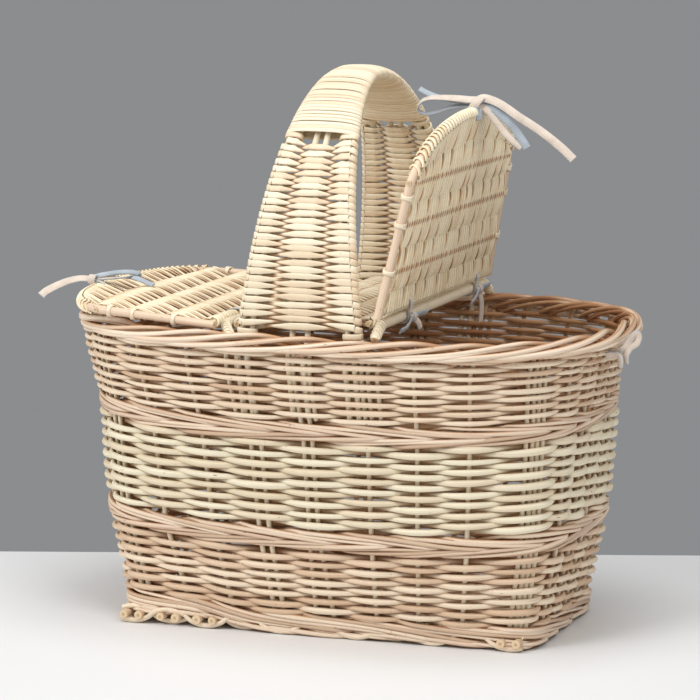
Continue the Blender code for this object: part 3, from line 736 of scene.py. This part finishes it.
def build_grip():
    """The grip: one skein wound closely round the ribs, from one leg to the other."""
    bundle = Bundle()
    t = np.linspace(0, 1, 45)
    c, s = np.cos(2 * math.pi * t), np.sin(2 * math.pi * t)
    for turn in range(int((HOOP_LENGTH[-1] - 2 * GRIP_START) / GRIP_PITCH)):
        angle = hoop_angle(GRIP_START + (turn + t) * GRIP_PITCH + rng.normal(0, 0.0003) * s)
        half = taper(HANDLE_HALF, angle)
        across = half * power(c, 0.55)
        crown = 0.0012 * np.cos(across / half * math.pi / 2)
        path, normal = hoop(angle, across, 0.0052 * power(s, 0.9) + crown * np.sign(s))
        wide, thick = 0.00185 * rng.normal(1, 0.07), 0.00075 * rng.normal(1, 0.1)
        bundle.rod(path, wide, thick, outward=leaning(normal, s * 1.3, c * 0.9), caps=False)
    bundle.build("grip_skeins", SKEIN, ("grip_binding",), "willow_pale")


build_ribs()
build_leg("front")
build_leg("back")
build_grip()


# ---- Bridge ----
CROSSBAR_HALF = 0.141
BRIDGE_RIBS = (-0.056, -0.028, 0.0, 0.028, 0.056)
BRIDGE_SWING = 0.0036
# The left crossbar lies lower than the right one, and the left lid lies with it.
LEFT_DROP = 0.0075


def crossbar_place(side, y):
    """Where a crossbar runs. Its ends are bound down into the border, and the left one's ends lean inwards."""
    end = clamp((np.abs(y) - 0.122) / 0.019) ** 1.5
    drop, lean = (LEFT_DROP, 0.0110) if side < 0 else (0.0, 0.0)
    return xyz(side * HINGE_X + lean * end, y, HINGE_Z - drop - (0.0105 - drop * 0.5) * end)


def bridge_height(x):
    return HINGE_Z + LEFT_DROP * np.clip(x / HINGE_X, -1, 0)


def build_bridge():
    """The two bound crossbars, and the woven strip between them."""
    bundle = Bundle()
    for side in (-1, 1):
        bundle.rod(crossbar_place(side, np.linspace(-CROSSBAR_HALF, CROSSBAR_HALF, 90)), 0.0035, sides=12)
        turns = int(2 * CROSSBAR_HALF / 0.0033)
        psi = np.linspace(0, 2 * math.pi * turns, turns * 12)
        out = xyz(np.cos(psi), 0.0, np.sin(psi))
        y = np.linspace(-CROSSBAR_HALF + 0.001, CROSSBAR_HALF - 0.001, len(psi))
        bundle.rod(crossbar_place(side, y) + out * 0.0040, 0.00150, 0.0006, outward=out, sides=6)
    bundle.build("crossbars", SKEIN, ("left_crossbar", "right_crossbar"))
    bundle = Bundle()
    for x in BRIDGE_RIBS:
        bundle.rod(xyz(x, np.linspace(-0.128, 0.128, 24), bridge_height(x)), 0.0023)
    reach = BRIDGE_RIBS[-1]
    x = np.linspace(-reach, reach, 60)
    u = np.interp(x, BRIDGE_RIBS, np.arange(len(BRIDGE_RIBS)))
    c, s = np.cos(half_turn(9)), np.sin(half_turn(9))
    for number, y in enumerate(spread(-0.124, 0.124, 0.0042)):
        wave = flip(number) * BRIDGE_SWING * np.cos(math.pi * u)
        # Painted shade where the rows cross the middle of the strip's depth between the ribs.
        bundle.rod(
            xyz(x, y, bridge_height(x) + wave), 0.0022, 0.0012, outward=(0, 0, 1), caps=False,
            core_shade=wave, core_shade_depth=0.0034,
        )
        for side in (-1, 1):
            height = bridge_height(side * reach) + BRIDGE_SWING * s
            path = xyz(side * (reach + BRIDGE_SWING * c), y + 0.0021 * s, height)
            bundle.rod(path, 0.0019, 0.0011, outward=xyz(side * c, 0.0, s), caps=False)
    bundle.build("bridge_rows", SKEIN, ("bridge_weave",), "willow_pale")


build_bridge()


# ---- Lids ----
# Places along a lid from its hinge line: the bow's ends, shoulder and tip, the hinge rod and the ribs.
BOW_START = 0.006
SHOULDER = 0.105
TIP = 0.160
ROD_PLACE = 0.011
LID_RIBS = (0.043, 0.081, 0.115)
# Half the width at both ends of the straight sides, and the shape and radius of the bow.
HALF_AT_HINGE = 0.134
HALF_AT_SHOULDER = 0.1225
BOW_POWER = 2.05
BOW_R = 0.0034
# Skeins and their pitch at the shoulder. They fan out towards the hinge by this factor.
LID_ROWS = 92
LID_PITCH = 0.00258
FAN = 1.085
# The closed lid rests on the border's high end, so it tips up a little. The open lid sits to the front.
LEFT_TILT = math.radians(2.8)
RIGHT_SHIFT = -0.0044


def lid_frame(side):
    """The lid's origin, and its directions along, across and out of its top face."""
    opening = LID_OPEN if side > 0 else LEFT_TILT
    c, s = math.cos(opening), math.sin(opening)
    origin = (HINGE_X, RIGHT_SHIFT, HINGE_Z) if side > 0 else (-HINGE_X, 0.0, HINGE_Z - LEFT_DROP)
    return np.array(origin), np.array([(side * c, 0.0, s), (0.0, 1.0, 0.0), (-side * s, 0.0, c)])


def lid_way(side, *parts):
    """Directions on a lid, from their parts along it, across it and out of its top face."""
    return xyz(*parts) @ lid_frame(side)[1]


def lid_points(side, *parts):
    return lid_frame(side)[0] + lid_way(side, *parts)


def bow_plan():
    """The bow's line: along and across."""
    arc = np.radians(np.linspace(0, 90, 40))
    s = SHOULDER + (TIP - SHOULDER) * np.sin(arc) ** (2 / BOW_POWER)
    y = HALF_AT_SHOULDER * np.maximum(np.cos(arc), 0) ** (2 / BOW_POWER)
    s = np.concatenate([np.linspace(BOW_START, SHOULDER, 24)[:-1], s])
    y = np.concatenate([np.linspace(HALF_AT_HINGE, HALF_AT_SHOULDER, 24)[:-1], y])
    return np.concatenate([s, s[-2::-1]]), np.concatenate([-y, y[-2::-1]])


def bow_reach(y):
    """How far from the hinge the bow's arc is, at a place across the lid."""
    share = clamp(np.abs(y) / HALF_AT_SHOULDER)
    return SHOULDER + (TIP - SHOULDER) * (1 - share**BOW_POWER) ** (1 / BOW_POWER)


def side_half(place):
    """Half the lid's width at a place along it, at the bow's middle line."""
    return np.interp(place, [BOW_START, SHOULDER], [HALF_AT_HINGE, HALF_AT_SHOULDER])


def lid_bunches(closed):
    """How far each skein is pushed towards its neighbours in each panel, and how much painted shade goes on its
    side faces beside the gap.
    """
    shoves, slots = np.zeros((4, LID_ROWS)), np.zeros((4, LID_ROWS))
    for panel in range(4):
        start = int(rng.integers(0, 3))
        while start < LID_ROWS:
            size = int(rng.integers(3, 6))
            size = size if closed else size + int(rng.integers(2, 9))
            group = np.arange(start, min(start + size, LID_ROWS))
            opened = rng.uniform(0.5, 1.0) if closed else rng.uniform(0.0, 0.8)
            shoves[panel, group] = (group.mean() - group) / max(size - 1, 1) * opened * 0.0014
            # Painted shade on the side faces of the skeins at both sides of a gap.
            slots[panel, group[[0, -1]]] = (1.3 if closed else 0.9) + 1.2 * opened
            start += size
    return shoves, slots


def lid_weave(side, word):
    """Fine skeins from the hinge rod to the bow, over and under the ribs. They bunch, which opens slots."""
    shoves, slots = lid_bunches(side < 0)
    turn = half_turn(11)
    step = (1 + np.sin(turn)) / 2
    bundles = (Bundle(), Bundle())
    for number in range(LID_ROWS):
        bundle = bundles[number * 2 // LID_ROWS]
        y0 = (number - (LID_ROWS - 1) / 2) * LID_PITCH
        sign = flip(number)
        reach = bow_reach(y0)
        stations = [ROD_PLACE, *[p for p in LID_RIBS if p < reach - 0.006], reach]
        s = np.linspace(ROD_PLACE, reach, 72)
        u = np.interp(s, stations, np.arange(len(stations)))
        fan = np.interp(s, [BOW_START, SHOULDER], [FAN, 1.0])
        panel = np.minimum(u.astype(int), 3)
        within = np.sin(math.pi * (u - panel))
        bulge = within**0.8
        # The outermost skeins bow inwards between the ribs.
        edge = clamp(1 - (LID_ROWS / 2 - 0.5 - np.abs(number - LID_ROWS / 2 + 0.5)) / 5)
        shove = shoves[panel, number] * bulge - np.sign(y0) * edge * 0.0022 * within**2
        lean = 0.0006 * np.sin(s * 38 + 0.6 + y0 * 20) + 0.0003 * np.sin(s * 60 + number * 0.4)
        wave = np.cos(math.pi * u) * sign
        places = [ROD_PLACE, ROD_PLACE + 0.012, reach - 0.014, reach]
        lift = np.interp(s, places, [0.0041, 0.0034, 0.0034, 0.0044])
        height = power(wave, 0.9) * lift - 0.0017 * within**2
        wide = 0.00134 * rng.normal(1, 0.05) * fan
        # Painted shade on the side faces of the skeins beside a slot.
        slot = slots[panel, number] * clamp(bulge * 1.3 - 0.25)
        # Under the lid, painted shade on the side faces of some of the skeins that cross a rib makes dark
        # notches in the gaps between them.
        rib = np.round(u)
        notched = (rib > 0) & (rib < len(stations) - 1) & (wave < 0)
        notch = (1.0 + 0.9 * np.abs(np.sin(number * 2.3 + rib))) * np.exp(-(((u - rib) / 0.075) ** 2)) * notched
        look = {"caps": False, "tint": rng.uniform(0, 1), "boxy": 0.7}
        y = y0 * fan + lean + shove
        path, out = lid_points(side, s, y, height), lid_way(side, 0.0, 0.0, 1.0)
        bundle.rod(path, wide, 0.00085, outward=out, edge=np.maximum(slot, notch), **look)
        if number + 1 == LID_ROWS:
            break
        # Even rows turn round the bow to the next row, and odd ones round the hinge rod.
        if sign > 0:
            place, across = reach + (bow_reach(y0 + LID_PITCH) - reach) * step, y[-1] + LID_PITCH * step
            radius, wide, ways = 0.0046, 0.0022, (np.cos(turn), 0.0, np.sin(turn) * np.sign(wave[-1]))
        else:
            place, across = ROD_PLACE, y[0] + LID_PITCH * 1.15 * step
            radius, wide, ways = 0.0041, 0.0021, (-np.cos(turn), 0.0, np.sin(turn))
        path = lid_points(side, place + radius * ways[0], across, radius * ways[2])
        bundle.rod(path, wide, 0.0009, outward=lid_way(side, *ways), **look)
    for number, bundle in enumerate(bundles):
        nodes = () if number else (word + "_lid_weave",)
        bundle.build(f"{word}_lid_rows_{number + 1}", LID_SKEIN, nodes, "willow_pale", word + "_lid")


def build_lid(side, word):
    """A lid: its bow, the rod at the hinge side, three ribs, the woven panel and the bindings."""
    bundle = Bundle()
    path = smooth_path(lid_points(side, *bow_plan(), 0.0), 150)
    bundle.rod(path, BOW_R * (1 + 0.05 * np.sin(np.linspace(0, 40, 150))), sides=14, tint=0.75)
    bundle.build(word + "_bow_rod", RIM, (word + "_lid_bow",), "willow_brown", word + "_lid")

    bundle = Bundle()
    half = HALF_AT_HINGE - BOW_R - 0.001
    bundle.rod(lid_points(side, ROD_PLACE, np.linspace(-half, half, 30), 0.0), 0.0029, sides=10)
    for place in LID_RIBS:
        half = side_half(place) + 0.003
        # Painted shade: the ribs are painted brown, so the gaps at the ribs look dark.
        bundle.rod(lid_points(side, place, np.linspace(-half, half, 30), 0.0), 0.0021, shade=0.0035)
    sticks = [f"{word}_lid_{stick}" for stick in ("hinge_rod", "rib_1", "rib_2", "rib_3")]
    bundle.build(word + "_lid_sticks", CREAM, sticks, body=word + "_lid")

    lid_weave(side, word)

    # Narrow crossed bindings where the ribs meet the side rods.
    bundle = Bundle()
    turn = np.linspace(0, 2 * math.pi, 21)
    c, s = np.cos(turn), np.sin(turn)
    for place in (*LID_RIBS[:2], 0.103):
        for end in (-1, 1):
            for slant in (-1, 1):
                across = end * side_half(place) + 0.0046 * c - end * 0.0006
                path = lid_points(side, place + slant * (0.0012 + 0.0012 * c), across, 0.0044 * s)
                bundle.rod(path, 0.0016, 0.0007, outward=lid_way(side, 0.0, c, s), caps=False, boxy=0.7)
    bundle.build(word + "_lid_bindings", SKEIN, slot="willow_pale", body=word + "_lid")


build_lid(-1, "left")
build_lid(1, "right")


# ---- Leather ----
def lid_strap(bundle, side, start, nodes, facing, width, count=48):
    """A strap on a lid. Nodes are millimetres along, across and above start, and facing is directed likewise."""
    points = smooth_path(np.array(start) + 0.001 * np.array(nodes), count)
    facing = np.atleast_2d(facing)
    places = np.linspace(0, 1, len(facing))
    facing = [np.interp(np.linspace(0, 1, count), places, part) for part in facing.T]
    bundle.strap(lid_points(side, *points.T), lid_way(side, *facing), width)


def strap_ring(bundle, side, centre, radii, plane, width, slant=0.0):
    """A band round an axis on a lid. The plane picks the two directions it turns in."""
    turn = np.linspace(0, 2 * math.pi, 25)
    nodes = np.tile(np.asarray(centre, float), (25, 1))
    facing = np.zeros((25, 3))
    for axis, radius, wave in zip(plane, radii, (np.cos(turn), np.sin(turn))):
        nodes[:, axis] += radius * wave
        facing[:, axis] = wave
    nodes[:, 3 - sum(plane)] += slant * np.cos(turn)
    bundle.strap(lid_points(side, *nodes.T), lid_way(side, *facing.T), width)


def build_open_thong():
    """The open lid's thong: round the bow's tip, knotted, with one loop, a stub and three tails."""
    bundle = Bundle()
    side = 1
    start = (0.0, -RIGHT_SHIFT, 0.0)
    strap_ring(bundle, side, (0.1602, start[1], 0.0), (0.0066, 0.0061), (0, 2), 0.0062)
    strap_ring(bundle, side, (0.1676, start[1], -0.0004), (0.0062, 0.0048), (0, 1), 0.0072, slant=-0.0026)
    loop = [
        (171.2, 0, -1), (169.4, 0, 7), (166.9, 0, 23), (162.8, 0, 39.8), (157, 1, 47.5), (150.4, 3, 48.6),
        (148.8, 4.5, 42), (152.5, 5, 33.2), (159, 4.5, 23), (164.5, 3.5, 9.7), (167.5, 2, 1),
    ]
    facing = [
        (0.7, -0.9, 0), (0.7, -0.9, 0.1), (0.8, -0.8, 0.2), (1, -0.7, 0.6), (0.7, -0.5, 1), (-0.2, -0.3, 1),
        (-1, 0.1, 0.4), (-1, 0.4, 0), (-1, 0.6, -0.3), (-0.8, 0.8, -0.3), (-0.6, 0.8, -0.2),
    ]
    lid_strap(bundle, side, start, loop, facing, 0.0066, 90)
    stub = [(168, 2.5, 6), (165.3, 3, 22.7), (164.7, 3.5, 35.7), (165.8, 3.5, 44.8), (167.5, 3.5, 51.4)]
    lid_strap(bundle, side, start, stub, (-0.8, 0.8, 0.3), 0.0050)
    short = [(166, -4.8, -1), (161.5, -5.8, -4.5), (156.5, -5.2, -6.6)]
    lid_strap(bundle, side, start, short, (-0.2, 0.5, 1), 0.0060, 20)
    bundle.build("right_thong", LEATHER, ("right_closing_thong",), "leather", "right_lid")

    # A long tail and two shorter ones, one with its flesh side out.
    bundle = Bundle()
    to_front = (0.225, -0.923, -0.31)
    to_back = (-0.225, 0.923, 0.31)
    tail = [
        (171.2, 0, -1), (173.8, 0, -6.5), (172.3, 0, -19.5), (165.6, 0, -38.3), (159, 0, -57.9),
        (150.3, 0, -77.6), (143.6, 0, -89.2),
    ]
    lid_strap(bundle, side, start, tail, [(0.5, -0.9, -0.3), to_front, to_front], 0.0070, 60)
    grey = [
        (169, 1.5, -3), (169.4, 1.5, -7), (167.2, 0, -13.8), (164.2, 0, -21.4), (157.4, 0, -33.2),
        (148.5, 0, -43.8), (143.2, 0, -49.3),
    ]
    lid_strap(bundle, side, start, grey, to_back, 0.0066, 60)
    pale = [
        (168, 0.5, -3.5), (165.6, -1, -9.2), (162.2, -1.5, -15), (157.5, -1.5, -20.5), (150.9, -1.5, -29),
        (146.2, -1.5, -36.8), (142.4, -1, -45.2),
    ]
    lid_strap(bundle, side, start, pale, to_front, 0.0056, 60)
    tails = bundle.build("right_thong_tails", LEATHER, (), "leather", "right_lid")
    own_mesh(tails)


def build_closed_thong():
    """The closed lid's thong: knotted over the bow, with a folded strip on the lid and a tail past the rim."""
    bundle = Bundle()
    side = -1
    knot = (bow_reach(-0.026), -0.026, 0.0)
    strap_ring(bundle, side, knot, (0.0066, 0.0062), (0, 2), 0.0066)
    strap_ring(bundle, side, np.add(knot, (0.0050, -0.0005, 0.0072)), (0.0046, 0.0034), (1, 2), 0.0068)
    strip = [(8, -0.5, 7.2), (16, -2, 7), (24, -7, 5), (31, -15, 1.5), (36.5, -24, -2.5), (39, -30, -6)]
    facing = [(0.1, -0.6, 1), (0, -1, 0.5), (-0.2, -1, 0.4)]
    lid_strap(bundle, side, knot, strip, facing, 0.0068)
    fold = [
        (8, 0, 7), (2, 1.5, 10), (-6, 5, 12.2), (-15, 10, 13.8), (-24, 15, 14), (-29, 17.5, 12.5),
        (-26, 15.5, 10.4), (-16, 9, 9.4), (-4, 3, 8.6), (6, 0, 7),
    ]
    facing = [
        (0.2, 0.8, -1), (0.3, 0.8, -1), (0, 0.8, -1), (0, 0.8, -1), (0.4, 0.6, -1), (1, 0.4, -0.2),
        (0.2, 0.2, 1), (0, -0.2, 1), (0, -0.3, 1), (0, -0.3, 1),
    ]
    lid_strap(bundle, side, knot, fold, facing, 0.0049, 80)
    end = [(-25, 13, 10), (-32, 12, 9.2), (-40, 11, 7), (-46, 10, 5.8)]
    lid_strap(bundle, side, knot, end, (0, 0.6, -1), 0.0050)
    bundle.build("left_thong", LEATHER, ("left_closing_thong",), "leather", "left_lid")


# Where the tails of a hinge tie start, in millimetres.
KNOT = (1.5, 0, -8.5)


def build_tie(side, end, place, tails):
    """A tie round a crossbar and the lid's hinge rod, with a knot under the lid and loose tails."""
    word = "right" if side > 0 else "left"
    bundle = Bundle()
    around = np.concatenate([half_turn(10), half_turn(10) + math.pi, [-math.pi / 2]])
    c, s = np.cos(around), np.sin(around)
    middle = ROD_PLACE * np.concatenate([np.ones(10), np.zeros(10), [1]])
    path = lid_points(side, middle + 0.0058 * c, place, 0.0058 * s)
    bundle.strap(path, lid_way(side, c, 0.0, s), 0.0052, 0.0012)
    strap_ring(bundle, side, (0.0015, place, -0.0084), (0.0036, 0.0026), (0, 2), 0.0056)
    strap_ring(bundle, side, (0.0020, place + 0.0008, -0.0088), (0.0034, 0.0028), (1, 2), 0.0048)
    for nodes, facing in tails:
        lid_strap(bundle, side, (0.0, place, 0.0), nodes, facing, 0.0050, 30)
    bundle.build(f"{word}_tie_{end}", LEATHER, (f"{word}_hinge_tie_{end}",), "leather", word + "_lid")


def build_ties():
    """Two hinge ties on each lid. Each tail has its nodes and the side of the leather that shows."""
    flesh, smooth = (0.3, 0.5, 1), (0.3, -0.6, -1)
    build_tie(1, "front", -0.074, (
        ([KNOT, (3, 10, -10.8), (3, 20, -11.2), (2, 30, -10.5)], flesh),
        ([KNOT, (-2, -11, -10.8), (-3.8, -24, -12.5), (-4, -36, -13)], flesh),
        ([(2, 0, -8.5), (-2, 3, -13), (-7, 6, -15)], smooth),
    ))
    build_tie(1, "back", 0.090, (
        ([KNOT, (3.5, 10, -10), (4, 21, -11)], flesh),
        ([KNOT, (-3, -11, -11), (-6, -26, -12.5)], flesh),
        ([(2, 0, -8.5), (-7, 2, -12), (-17, 4.5, -13.5), (-26, 6, -14)], smooth),
    ))
    for end, place in (("front", -0.080), ("back", 0.080)):
        build_tie(-1, end, place, (
            ([KNOT, (3, 10, -11), (3, 20, -12.5)], flesh),
            ([KNOT, (-2, -10, -12), (-3, -21, -15)], smooth),
        ))


def build_latch_loops():
    """A strap that comes out under the border at each end, folds over and hangs down."""
    rim_reach = wall(0.99, RIM_HEIGHT)[0][0, 0]
    for word, side in (("left", -1), ("right", 1)):
        bundle = Bundle()
        # Nodes in millimetres, outward from the rim and up from it.
        for nodes, shift in (
            ([(-3, -14), (6, -12.8), (12, -8.5), (17, -1.5), (21.5, 3.5), (24.2, 1.5), (22.2, -4.5),
              (16.8, -8.5), (13.2, -14.5), (13, -21.5)], 0),
            ([(-3, -15.5), (7, -14.8), (9.5, -18), (9.2, -24)], -0.0052),
        ):
            out, up = smooth_path(0.001 * np.array(nodes), 50).T
            path = xyz(side * (rim_reach + out), side * (shift - 0.030 - 0.2 * out), RIM_HEIGHT + up)
            facing = np.cross(unit(np.gradient(path, axis=0)), (0.0, 1.0, 0.0)) * -side
            bundle.strap(path, 0.45 * facing + np.array([0, -1.0, 0]), 0.0056)
        bundle.build(f"{word}_latch", LEATHER, (f"{word}_latch_loop",), "leather")


build_open_thong()
build_closed_thong()
build_ties()
build_latch_loops()


# ---- Stage ----
def build_stage():
    """A table top, and soft light from all round."""
    mesh = bpy.data.meshes.new("floor")
    # The floor is a table top whose far edge is a little behind the basket.
    edge, far = np.array([0.943, 0.333]), np.array([-0.086, 0.2009])
    ahead = np.array([edge[1], -edge[0]]) * 8
    corners = (far - edge * 6, far - edge * 6 + ahead, far + edge * 6 + ahead, far + edge * 6)
    mesh.from_pydata([(*corner, 0.0) for corner in corners], [], [(0, 1, 2, 3)])
    paint = Material("floor_paint")
    paint.fill(paint.tree.nodes["Principled BSDF"], {"Base Color": (0.78, 0.78, 0.78), "Roughness": 0.6})
    mesh.materials.append(paint.made)
    link(bpy.data.objects.new("floor", mesh))
    world = bpy.data.worlds.new("studio")
    world.use_nodes = True
    sky = world.node_tree.nodes["Background"].inputs
    sky["Color"].default_value = (0.92, 0.94, 0.97, 1)
    sky["Strength"].default_value = 0.282
    bpy.context.scene.world = world


def aim(name, data, place, direction):
    """Add a lamp or a camera that looks in a direction."""
    obj = link(bpy.data.objects.new(name, data))
    obj.location = place
    obj.rotation_mode = "QUATERNION"
    obj.rotation_quaternion = Vector(direction).to_track_quat("-Z", "Y")
    return obj


def build_lamps():
    """Four square lamps that look at the basket."""
    for name, place, size, watts in (
        ("key", (-0.9, -1.9, 2.2), 1.0, 34),
        ("side", (-2.3, -1.2, 1.0), 1.0, 16),
        ("fill", (1.7, -1.3, 1.9), 1.4, 23),
        ("top", (0.2, -0.2, 2.4), 1.2, 25),
    ):
        light = bpy.data.lights.new(name, "AREA")
        light.size = size
        light.energy = watts
        aim(name, light, place, np.array([0, 0, 0.2]) - np.array(place))


def build_camera():
    """The camera, from its angle round the basket, its distance and height, and the way it looks."""
    azimuth, distance, height = 0.3632, 2.7116, 0.663
    yaw, pitch = azimuth + 0.0028, 0.1612
    camera = bpy.data.cameras.new("camera")
    camera.sensor_width = 36
    camera.lens = 170.4034286
    camera.clip_start = 0.05
    forward = (-math.sin(yaw) * math.cos(pitch), math.cos(yaw) * math.cos(pitch), -math.sin(pitch))
    place = (math.sin(azimuth) * distance, -math.cos(azimuth) * distance, height)
    bpy.context.scene.camera = aim("camera", camera, place, forward)


build_stage()
build_lamps()
build_camera()
bpy.context.scene.view_settings.view_transform = "Standard"
